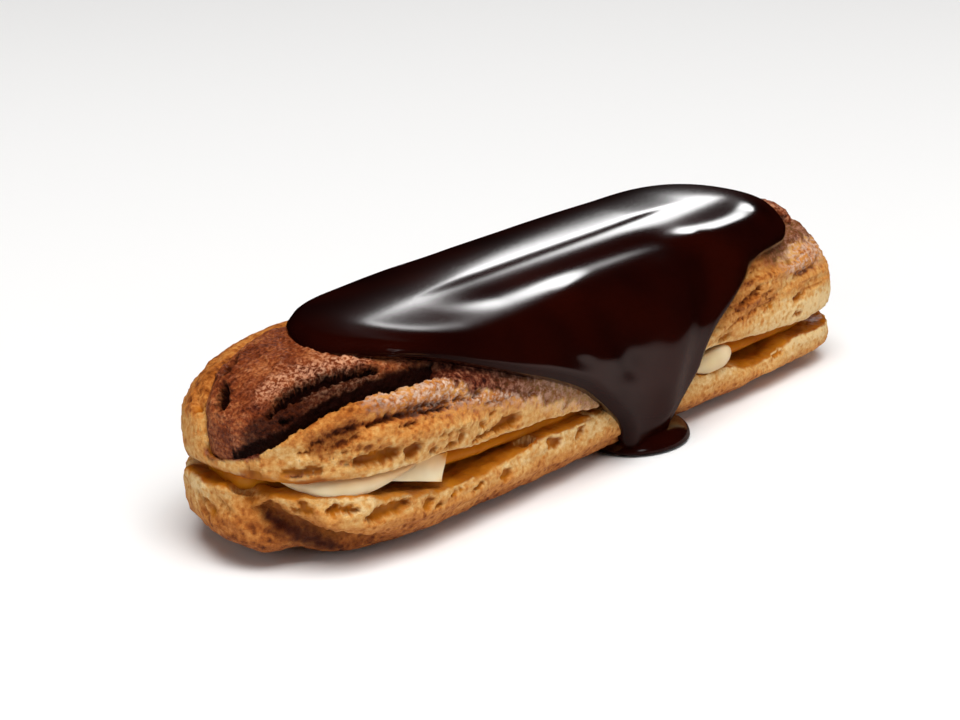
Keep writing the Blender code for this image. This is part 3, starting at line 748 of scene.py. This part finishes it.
points = points_of(top)
x, y, z = points.T
crown = ease(z, between((20.2, 16.5), x), between((23.5, 20.0), x))
angle = np.degrees(np.arctan2(z - section_at(x)[1], BUN_Y - y))
edge = np.interp(x, *np.array(FRONT_EDGE).T)
below = np.radians(edge - angle) * 19 + 1.4 * mottle(points, 1.8, 49, 2)
cocoa_run = np.interp(x, [-52, -46, -38, -30, -24, -16, -8, -4], [0, 2.2, 3.4, 3.0, 2.4, 2.0, 1.4, 0])
cocoa_dark = np.interp(x, [-52, -46, -34, -26, -16, -6, -4], [1, 1, 1, 0.8, 0.6, 0.4, 0])
cocoa = (1 - ease(below, cocoa_run, cocoa_run + 1.2)) * cocoa_dark * (y < BUN_Y) * (x < -3)
cocoa = np.maximum(cocoa, ease(bed, 0.1, 0.5))
cocoa = np.maximum(cocoa, (1 - ease(gap_to_crust, 1.0, 1.7)) * ease(-x, 62, 65) * (1 - ease(y, 1, 5)))
under_crust = ease(normals_of(top)[:, 2], 0.3, 0.6) * (x < -61) * (z > 14.8) * (z < 17.6)
cocoa = np.maximum(cocoa, under_crust)
far_cocoa = (1 - ease(below, 1.6, 3.6)) * ease(x, 40, 46) * (y < BUN_Y) * 0.8
pale_edge = 1 - ease(z - lip - dropped, 0.3, 1.0)
# Paler towards the blunt end as painted light; the paler torn lip there is the crumb's own colour.
bake_light_and_shade = 0.28 - 0.14 * ease(x, 30, 60) + 0.2 * golden + 0.2 * drawn_out * golden + 0.1 * crown
bake_light_and_shade -= 0.06 * (proud + proud_2 + proud_3) + 0.14 * ease(x, 28, 46) * torn
# Painted shade: cracks, wrinkles and the hollow are made browner in bake.
paint(top, "bake_light_and_shade", bake_light_and_shade + 0.45 * cracks + 0.25 * wrinkle + 0.2 * hollow - 0.15 * pale_edge)
tip_film = ease(-x, 58, 64) * (1 - ease(z - lip - dropped + 0.8 * mottle(points, 2.4, 59, 2), 0.5, 1.3))
paint(top, "hole", np.maximum(ease(holes, 0.12, 0.5), tip_film))
# Pale dusting over the blunt end's top, partly painted light.
far_dust_and_light = ease(x, 44, 50) * ease(z, lip + 6.5, lip + 9) * 0.7
near_dust = (0.95 * near(points, ridge[5:], 2.4, 2.0) + 0.6 * ease(cocoa_run + 3 - below, 0, 2.5)) * (x < 0)
paint(top, "dust", (near_dust + far_dust_and_light) * (y < 4))
paint(top, "cocoa", np.maximum(cocoa, far_cocoa))
# Painted shade: cracks, the hollow, the wrinkles and the canyon's bed under the torn crust are darkened.
paint(top, "recess_shade", ease(cracks, 0.35, 0.9) * 0.4 + 0.5 * hollow + 0.2 * wrinkle + 0.8 * ease(bed, 0.3, 0.8))
top.data.materials.append(choux)
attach(top, "root")
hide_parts("top_half")

# ---------------------------------------------------------------------------------------------------------
# Cocoa crust.
# A cocoa cookie dough laid on the bun and baked with it. It is matt, deep brown and rough as sand, and it
# tore into long canyons with ragged edges where the bun rose under its tapered end.

cocoa_mat, tree, shader, place = new_material("Cocoa_crust_baked", {"IOR": 1.45, "Specular IOR Level": 0.5})
depth, grit_and_glints = (
    add_node(tree, "Attribute", {}, attribute_name=name).outputs["Fac"] for name in ("canyon_shade", "grit_and_glints")
)
patch = add_node(tree, "TexNoise", {"Vector": place, "Scale": 1 / (4 * MM), "Detail": 4.0, "Roughness": 0.6})
grit = add_node(
    tree, "TexNoise", {"Vector": place, "Scale": 1 / (0.5 * MM), "Detail": 3.0, "Roughness": 0.65}
)
mixed = add_node(tree, "Math", {0: patch, 1: grit}, operation="ADD")
half = add_node(tree, "Math", {0: mixed, 1: 0.5}, operation="MULTIPLY")
brown = add_node(
    tree, "ValToRGB", {"Fac": half}, stops=[(0.34, "#45170A"), (0.5, "#823C1C"), (0.64, "#B36A3C")]
)
# Pale grains: the crust's grit, partly painted glints, with painted highlights on the canyon rims and
# painted light at the blunt end.
sparkle = add_node(tree, "ValToRGB", {"Fac": grit}, stops=[(0.46, 0.0), (0.58, 1.0)])
catch = add_node(tree, "Math", {0: sparkle, 1: grit_and_glints}, operation="MULTIPLY")
sandy = add_node(tree, "Mix", {"Factor": catch, "A": brown, "B": linear("#E2A884")}, data_type="RGBA")
# Painted shade: canyon floors, the nose's front face and the lower walls mix towards near black.
dark = add_node(tree, "Mix", {"Factor": depth, "A": sandy, "B": linear("#1A0603")}, data_type="RGBA")
rough = add_node(tree, "MapRange", {"Value": grit, "To Min": 0.42, "To Max": 0.75})
sand = add_node(tree, "TexVoronoi", {"Vector": place, "Scale": 1 / (0.75 * MM)}, feature="SMOOTH_F1")
height = add_node(tree, "Math", {0: sand, 1: -1.0, 2: grit}, operation="MULTIPLY_ADD")
relief = add_node(tree, "Bump", {"Height": height, "Strength": 1.0, "Distance": 0.5 * MM})
plug(shader, {"Base Color": dark, "Roughness": rough, "Normal": relief})

crust = copy_of("cocoa_crust", "Cocoa_crust")
even_out(crust, 0.55, 8)
refine(crust, lambda x, y, z: (z > 17.5) & ((x < -36) | ((y < -6) & (x < 0)) | (x > 52)))

CANYON_PITS = [
    ([(-66.4, -6.8, 20.8), (-66, -7, 21.2)], 0.55, 1.2),
    ([(-65.4, -6.2, 22.2)], 0.5, 1),
    ([(-64.2, -7.4, 22.6)], 0.4, 0.8),
    ([(-57.5, -9.9, 25.3)], 0.4, 0.8),
]
points = points_of(crust)
x, y, z = points.T
share = np.clip((BUN_Y - y) / (BUN_Y - np.interp(x, EDGE_X, EDGE_Y)), 0, 1.05) ** 1.5
spread = (np.interp(x, EDGE_X, TORN_Y) - np.interp(x, EDGE_X, EDGE_Y)) * share * (x < -20)
moved = np.abs(spread) > 0.01
spread_y = y + spread
z[moved] += roof_at(x[moved], spread_y[moved]) - roof_at(x[moved], y[moved])
points = np.column_stack([x, spread_y, z])
move_points(crust, points)
normals = normals_of(crust)
x, y, z = points.T
rough_part = 0.28 + 0.5 * ease(x, -64, -58) * ease(BUN_Y - y, -4, 4)
lumps = mottle(points, 4.0, 51, 3)
sandy_lumps = mottle(points, 1.2, 52, 3)
outside = 1 - ease(x, -52, -46) * (1 - ease(x, 57, 60)) * (y > -11.5)
points[:, 2] -= 1.6 * ease(-x, 62, 65.5) * ease(-normals[:, 2], 0.05, 0.4)
proud_rim = 0.75 * ease(-x, 44, 50) * ease(y, -5, 0)
proud_rim += 2.2 * near(points, FAR_HEAP, 5.0, 2.0) * ease(x, 57.5, 61.5)
points += normals * ((0.3 * lumps + 0.5 * rough_part * sandy_lumps) * outside + proud_rim)[:, None]
canyon_shade = np.zeros(len(points))
for number, (path, reach, depth) in enumerate(CANYONS + CANYON_PITS, 120):
    canyon = near(points, path, reach, 3.2, 0.75, number, 0.6)
    rim = near(points, path, reach * 1.9, 4.0, 0.6, number, 0.6) - canyon
    points += normals * (0.35 * np.maximum(rim, 0) - canyon * depth)[:, None]
    canyon_shade = np.maximum(canyon_shade, canyon)
move_points(crust, points)
modify(crust, "SMOOTH", factor=0.3, iterations=1)

points = points_of(crust)
x, y, z = points.T
# Painted highlight along the canyons' upper rims.
rim_highlight = np.zeros(len(points))
for path, away in ((CANYONS[0][0], 2.6), ([(-62.2, -6.6, 24.8), (-57, -8.8, 26), (-50, -11.2, 26.6)], 0)):
    raised = np.array(path) + (0, away, 0.5)
    rim_highlight = np.maximum(rim_highlight, near(points, raised, 1.8, 2.0, 0.4, 140))
# Painted shade on the lower walls, the nose's front face and in the canyons.
wall = 1 - ease(z - roof_at(x, y) + 1.1, -1.2, -0.2)
canyon_y = np.interp(
    x, [-70, -66, -63.5, -59.8, -57.7, -53.9, -49.5], [-0.6, -3.4, -4.3, -5.6, -6.6, -8.2, -10.2]
)
under = canyon_y - y
shaded_face = np.maximum(0.72 * ease(under, 0, 0.9) * ease(-x, 47, 53), wall * (y < 0))
paint(crust, "canyon_shade", ease(canyon_shade, 0.1, 0.6) + shaded_face)
# Pale grains: grit partly painted as glints on the rough part, painted highlight on the rims, painted light
# at the blunt end.
paint(crust, "grit_and_glints", 0.7 * rim_highlight + 0.4 * rough_part * ease(sandy_lumps, 0.1, 0.6) + 0.3 * ease(x, 50, 58))
crust.data.materials.append(cocoa_mat)
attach(crust, "root")
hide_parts("cocoa_crust")

# ---------------------------------------------------------------------------------------------------------
# Glaze.
# Dark chocolate glaze, poured warm along the top. It set with a mirror gloss in soft lengthwise flutes, with
# a thick round edge, and ran down the front in one broad skirt that ends in a puddle.

glaze_mat, tree, shader, place = new_material(
    "Chocolate_glaze_poured", {"Roughness": 0.16, "IOR": 1.5, "Specular IOR Level": 0.5}
)
cloud = add_node(tree, "TexNoise", {"Vector": place, "Scale": 1 / (16 * MM), "Detail": 2.0})
cocoa_butter = add_node(tree, "ValToRGB", {"Fac": cloud}, stops=[(0.35, "#150302"), (0.65, "#210502")])
film = add_node(tree, "TexNoise", {"Vector": place, "Scale": 1 / (0.7 * MM), "Detail": 2.0})
relief = add_node(tree, "Bump", {"Height": film, "Strength": 0.05, "Distance": 0.05 * MM})
plug(shader, {"Base Color": cocoa_butter, "Normal": relief})

GLAZE_THICK = 2.1
BEAD = 2.6  # how far in the sheet takes to reach its full thickness

# The sheet's outline as places along the bun and angles around its section, from the drip's side
NEAR_END = [
    (-51, 46), (-53, 56), (-53.8, 68), (-54, 79), (-53.5, 92), (-52.5, 104), (-51.2, 113), (-49, 122),
]
FAR_END = [
    (52.2, 32), (53.9, 38), (56, 46), (58.2, 56), (59.3, 68), (59.5, 80), (59, 95), (57.4, 110), (54, 124),
]
BACK_EDGE = [
    (-49, 122), (-44, 133), (-37, 141), (-28, 145), (-18, 150), (-8, 147), (2, 152), (12, 155), (22, 149),
    (31, 146), (40, 147), (48, 138), (54, 124),
]


def hull(x, angle, proud):
    """A place on the smooth form that the glaze lies on, at an angle around the section, and how far out."""
    half_width, widest, top_z = section_at(x)
    reach = np.where(np.sin(angle) > 0, top_z - widest, 26.0)
    away = (np.abs(np.cos(angle)) / half_width) ** ROUND + (np.abs(np.sin(angle)) / reach) ** ROUND
    radius = away ** (-1 / ROUND) + proud
    return np.column_stack([x, BUN_Y - radius * np.cos(angle), widest + radius * np.sin(angle)])


def smooth_line(corners, shares, squeeze=3):
    """Places at these shares of the length of a smooth curve through the corners."""
    corners = np.array(corners, float)
    corners[:, 1] /= squeeze
    held = np.vstack([2 * corners[0] - corners[1], corners, 2 * corners[-1] - corners[-2]])
    drawn = []
    for p0, p1, p2, p3 in zip(held, held[1:], held[2:], held[3:]):
        for t in np.linspace(0, 1, 24, endpoint=False):
            drawn.append(
                0.5 * (2 * p1 + (p2 - p0) * t + (2 * p0 - 5 * p1 + 4 * p2 - p3) * t * t
                       + (3 * p1 - p0 - 3 * p2 + p3) * t**3)
            )
    drawn = np.array(drawn + [corners[-1]])
    for _ in range(40):
        drawn[1:-1] = (drawn[:-2] + 2 * drawn[1:-1] + drawn[2:]) / 4
    run = np.concatenate([[0], np.cumsum(np.linalg.norm(np.diff(drawn, axis=0), axis=1))])
    places = np.column_stack([np.interp(shares * run[-1], run, drawn[:, i]) for i in range(2)])
    places[:, 1] *= squeeze
    return places


def spread_sheet(name, proud_at):
    """A grid laid over the hull inside the sheet's outline."""
    alone()
    bpy.ops.mesh.primitive_grid_add(x_subdivisions=230, y_subdivisions=190, size=2)
    sheet = bpy.context.object
    sheet.name = sheet.data.name = name
    flat = points_of(sheet) * MM
    rim = np.max(np.abs(flat[:, :2]), axis=1) > 0.99999
    u, v = (0.5 + 0.5 * (0.6 * flat[:, i] + 0.4 * np.sin(flat[:, i] * np.pi / 2)) for i in range(2))
    front, back = smooth_line(FRONT_EDGE, u), smooth_line(BACK_EDGE, u)
    left, right = smooth_line(NEAR_END, v), smooth_line(FAR_END, v)
    across, along = v[:, None], u[:, None]
    corners = (
        (1 - along) * (1 - across) * FRONT_EDGE[0] + along * (1 - across) * FRONT_EDGE[-1]
        + (1 - along) * across * BACK_EDGE[0] + along * across * BACK_EDGE[-1]
    )
    laid = (1 - across) * front + across * back + (1 - along) * left + along * right - corners
    x, angle = laid[:, 0], np.radians(laid[:, 1])
    base_points = hull(x, angle, 0)
    contact = rim_contact(x[rim], angle[rim])
    tree_of_rim = kdtree.KDTree(int(rim.sum()))
    for number, place_on_rim in enumerate(base_points[rim].tolist()):
        tree_of_rim.insert(place_on_rim, number)
    tree_of_rim.balance()
    nearest = [tree_of_rim.find(place_in) for place_in in base_points.tolist()]
    inward = np.array([found[2] for found in nearest])
    sunk = contact[[found[1] for found in nearest]]
    points = hull(x, angle, proud_at(x, angle, inward, base_points, sunk))
    points[:, 2] = np.maximum(points[:, 2], 0.15)
    move_points(sheet, points)
    return sheet


def rim_contact(x, angle):
    """How far in from the hull the bun and its crust lie under the sheet's rim."""
    outer, inner = hull(x, angle, 3.0), hull(x, angle, -6.0)
    found = []
    for start, end in zip(outer, inner):
        step = Vector(end - start)
        best = 3.5
        for covered in below_glaze:
            hit = covered.ray_cast(Vector(start) * MM, step.normalized(), 9 * MM)
            if hit[0] is not None:
                best = min(best, hit[3] / MM)
        found.append(3.0 - best)
    return np.clip(np.array(found), -2.2, 0.6)


FLUTES = [  # each flute's crest or valley seen from above, its reach across, its height and its fade
    ([(-48, -3), (-42, -9.5), (-35, -12.4), (-24, -12.8), (-12, -12), (2, -10.5)], 2.6, 0.75, 14),
    ([(-34, -6.4), (-20, -7), (0, -7.2), (16, -7.6), (30, -8.8)], 2.6, -0.5, 14),
    ([(20, -8.9), (28, -11), (38, -11.8), (46, -11), (54, -7.2)], 2.4, 1.15, 9),
    ([(25, -16.6), (30, -16.6), (35, -16.2), (41, -15)], 1.7, 1.15, 6),
]
STEP = [(-34, -1.4), (-10, -1.3), (14, -1.2), (42, -0.7)]  # behind this line the glaze lies a little higher
SKIRT_FOLDS = [  # each hanging fold's line as places and angles from top to bottom, its reach and its height
    ([(16, 44), (13.5, 22), (11, 5), (9, -12), (7.5, -32)], 3.6, 0.95),
    ([(-6, 30), (-4.5, 14), (-2, 2), (0, -10)], 3, -0.55),
    ([(-18, 26), (-13, 12), (-9, 3)], 3.4, 0.5),
    ([(31, 50), (27, 34), (22, 20), (19, 6)], 3.2, -0.7),
]


def sheet_height(x, angle, inward, places, sunk):
    """How far the glaze's outside stands off the hull: its thickness, its round edge and its flutes."""
    low = ease(-places[:, 1], 12, 18)
    bead = np.sqrt(1 - (1 - np.clip(inward / BEAD, 0, 1)) ** 2)
    rise = sunk - 0.4 + (GLAZE_THICK - 0.3 * low - sunk + 0.4) * bead
    for line, reach, height, fade in FLUTES:
        drawn_line = smooth_line(line, np.linspace(0, 1, 200), 1)
        across = (places[:, 1] - np.interp(x, drawn_line[:, 0], drawn_line[:, 1])) / reach
        run = ease(x, line[0][0], line[0][0] + fade) * (1 - ease(x, line[-1][0] - fade, line[-1][0]))
        rise += height * np.exp(-(across**2)) * run * ease(inward, 1, 5)
    for line, reach, height in SKIRT_FOLDS:
        corners = np.array(line, float)
        beside = (x - np.interp(-np.degrees(angle), -corners[:, 1], corners[:, 0])) / reach
        run = ease(np.degrees(angle), line[-1][1], line[-1][1] + 12)
        run *= 1 - ease(np.degrees(angle), line[0][1] - 16, line[0][1])
        rise += height * np.exp(-(beside**2)) * run * ease(inward, 1.5, 5)
    drop = (places[:, 1] - np.interp(x, *np.array(STEP).T)) / 1.1
    run = ease(x, -34, -16) * (1 - ease(x, 26, 42)) * ease(inward, 1, 5)
    rise += 0.3 / (1 + np.exp(-3 * drop)) * run - 0.15
    return rise + 0.35 * mottle(places, (13, 13, 9), 71, 2) * low * ease(inward, 1, 5)


def sheet_floor(x, angle, inward, places, sunk):
    """How far the glaze's inside stands off the hull, hidden in the bun."""
    return sunk - 0.4 + (0.1 - sunk) * ease(inward, 0, 5)


shown = bpy.context.evaluated_depsgraph_get()
below_glaze = [BVHTree.FromObject(piece, shown) for piece in (top, crust, base)]
glaze = spread_sheet("Glaze", sheet_height)
inside = spread_sheet("Glaze_inside", sheet_floor)
bpy.ops.object.mode_set(mode="EDIT")
bpy.ops.mesh.select_all(action="SELECT")
bpy.ops.mesh.flip_normals()
bpy.ops.object.mode_set(mode="OBJECT")
join(glaze, inside)
bpy.ops.object.mode_set(mode="EDIT")
bpy.ops.mesh.select_all(action="SELECT")
bpy.ops.mesh.remove_doubles(threshold=0.002 * MM)
bpy.ops.mesh.normals_make_consistent(inside=False)
bpy.ops.object.mode_set(mode="OBJECT")
bpy.ops.object.shade_smooth()

alone()
bpy.ops.mesh.primitive_uv_sphere_add(segments=96, ring_count=48, radius=1)
puddle = bpy.context.object
points = points_of(puddle) * MM
x, y, z = points.T
across = np.hypot(x, y)
level = np.where(z > 0, np.sqrt(np.clip(1 - across**3, 0, 1)) * 3.2 + 0.5, -0.3 + 0.8 * across**6)
move_points(puddle, np.column_stack([9.5 + 9.5 * x, -14.1 + 7.5 * y, np.maximum(level, 0.02)]))
bpy.ops.object.shade_smooth()
join(glaze, puddle)
glaze.data.materials.append(glaze_mat)
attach(glaze, "root")
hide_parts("glaze")

# ---------------------------------------------------------------------------------------------------------
# Floor, lights and camera.
# A pale matt table, a large soft light overhead, and a long soft light behind that draws the flutes' gloss.

floor_mat, tree, shader, place = new_material("Table_matt_white", {"Roughness": 0.9})
cloud = add_node(tree, "TexNoise", {"Vector": place, "Scale": 2.0, "Detail": 1.0})
white = add_node(tree, "ValToRGB", {"Fac": cloud}, stops=[(0.3, "#F4F3F2"), (0.7, "#F7F6F5")])
plug(shader, {"Base Color": white})
alone()
bpy.ops.mesh.primitive_plane_add(size=5)
floor = bpy.context.object
floor.name = floor.data.name = "Table"
floor.data.materials.append(floor_mat)
floor.visible_glossy = False


def soft_light(name, towards, distance, size, power, mirrored=False):
    """A soft light that faces the eclair from this direction, and shows in its gloss if it is mirrored."""
    lamp = bpy.data.lights.new(name, "AREA")
    lamp.shape = "RECTANGLE"
    lamp.size, lamp.size_y = size
    lamp.energy = power
    thing = bpy.data.objects.new(name, lamp)
    bpy.context.scene.collection.objects.link(thing)
    direction = Vector(towards).normalized()
    thing.location = Vector((0, 0, 0.015)) + direction * distance
    thing.rotation_euler = direction.to_track_quat("Z", "Y").to_euler()
    thing.visible_camera = False
    thing.visible_glossy = mirrored


soft_light("Key_overhead", (-0.2, -0.25, 0.95), 1.4, (1.2, 1.2), 28)
soft_light("Gloss_behind", (0.793, 0.509, 0.330), 2.5, (0.40, 0.36), 3.3, mirrored=True)
soft_light("Fill_left", (-0.9, -0.05, 0.42), 1.6, (1.1, 0.7), 4)
soft_light("Fill_front", (0.45, -0.8, 0.35), 1.6, (1.0, 0.7), 4)
soft_light("Gloss_left", (-0.35, -0.9, 0.35), 2.2, (0.5, 0.35), 1.3, mirrored=True)

# A soft edged white card lies in front, where only the glaze's skirt mirrors it; the table isn't mirrored
card_mat, tree, shader, place = new_material(
    "Reflector_card_white", {"Roughness": 1.0, "Specular IOR Level": 0.0, "Base Color": linear("#BBA8A2")}
)
middle = add_node(tree, "Mapping", {"Vector": place, "Location": (-0.3, 0.9, 0), "Scale": (12, 12, 1)})
away = add_node(tree, "VectorMath", {0: middle}, operation="LENGTH")
solid = add_node(
    tree, "MapRange", {"Value": away, "From Min": 0.05, "From Max": 1.05, "To Min": 1.0, "To Max": 0.0}
)
plug(shader, {"Alpha": solid})
alone()
bpy.ops.mesh.primitive_plane_add(size=0.25, location=(0.025, -0.075, 0.0003))
bpy.ops.object.transform_apply(location=True)
card = bpy.context.object
card.name = card.data.name = "Reflector_card"
card.data.materials.append(card_mat)
card.visible_camera = card.visible_diffuse = card.visible_shadow = card.visible_transmission = False

world = bpy.data.worlds.new("Studio")
world.use_nodes = True
plug(world.node_tree.nodes["Background"], {"Color": linear("#FFFFFF"), "Strength": 0.9})
world.cycles_visibility.glossy = world.cycles_visibility.diffuse = False
world.cycles_visibility.transmission = False
bpy.context.scene.world = world
bpy.context.scene.view_settings.view_transform = "Standard"

AZIMUTH, ELEVATION = math.radians(-52.6), math.radians(18)
back = Vector(
    (math.sin(AZIMUTH) * math.cos(ELEVATION), -math.cos(AZIMUTH) * math.cos(ELEVATION), math.sin(ELEVATION))
)
right = Vector((math.cos(AZIMUTH), math.sin(AZIMUTH), 0))
up = back.cross(right)
aim = Vector((0, BUN_Y, 15)) * MM - right * 6.9 * MM - up * 2.3 * MM
lens = bpy.data.cameras.new("Camera")
lens.lens = 100
lens.clip_start = 0.02
camera = bpy.data.objects.new("Camera", lens)
bpy.context.scene.collection.objects.link(camera)
camera.location = aim + back * 0.42
camera.rotation_mode = "QUATERNION"
camera.rotation_quaternion = back.to_track_quat("Z", "Y")
bpy.context.scene.camera = camera
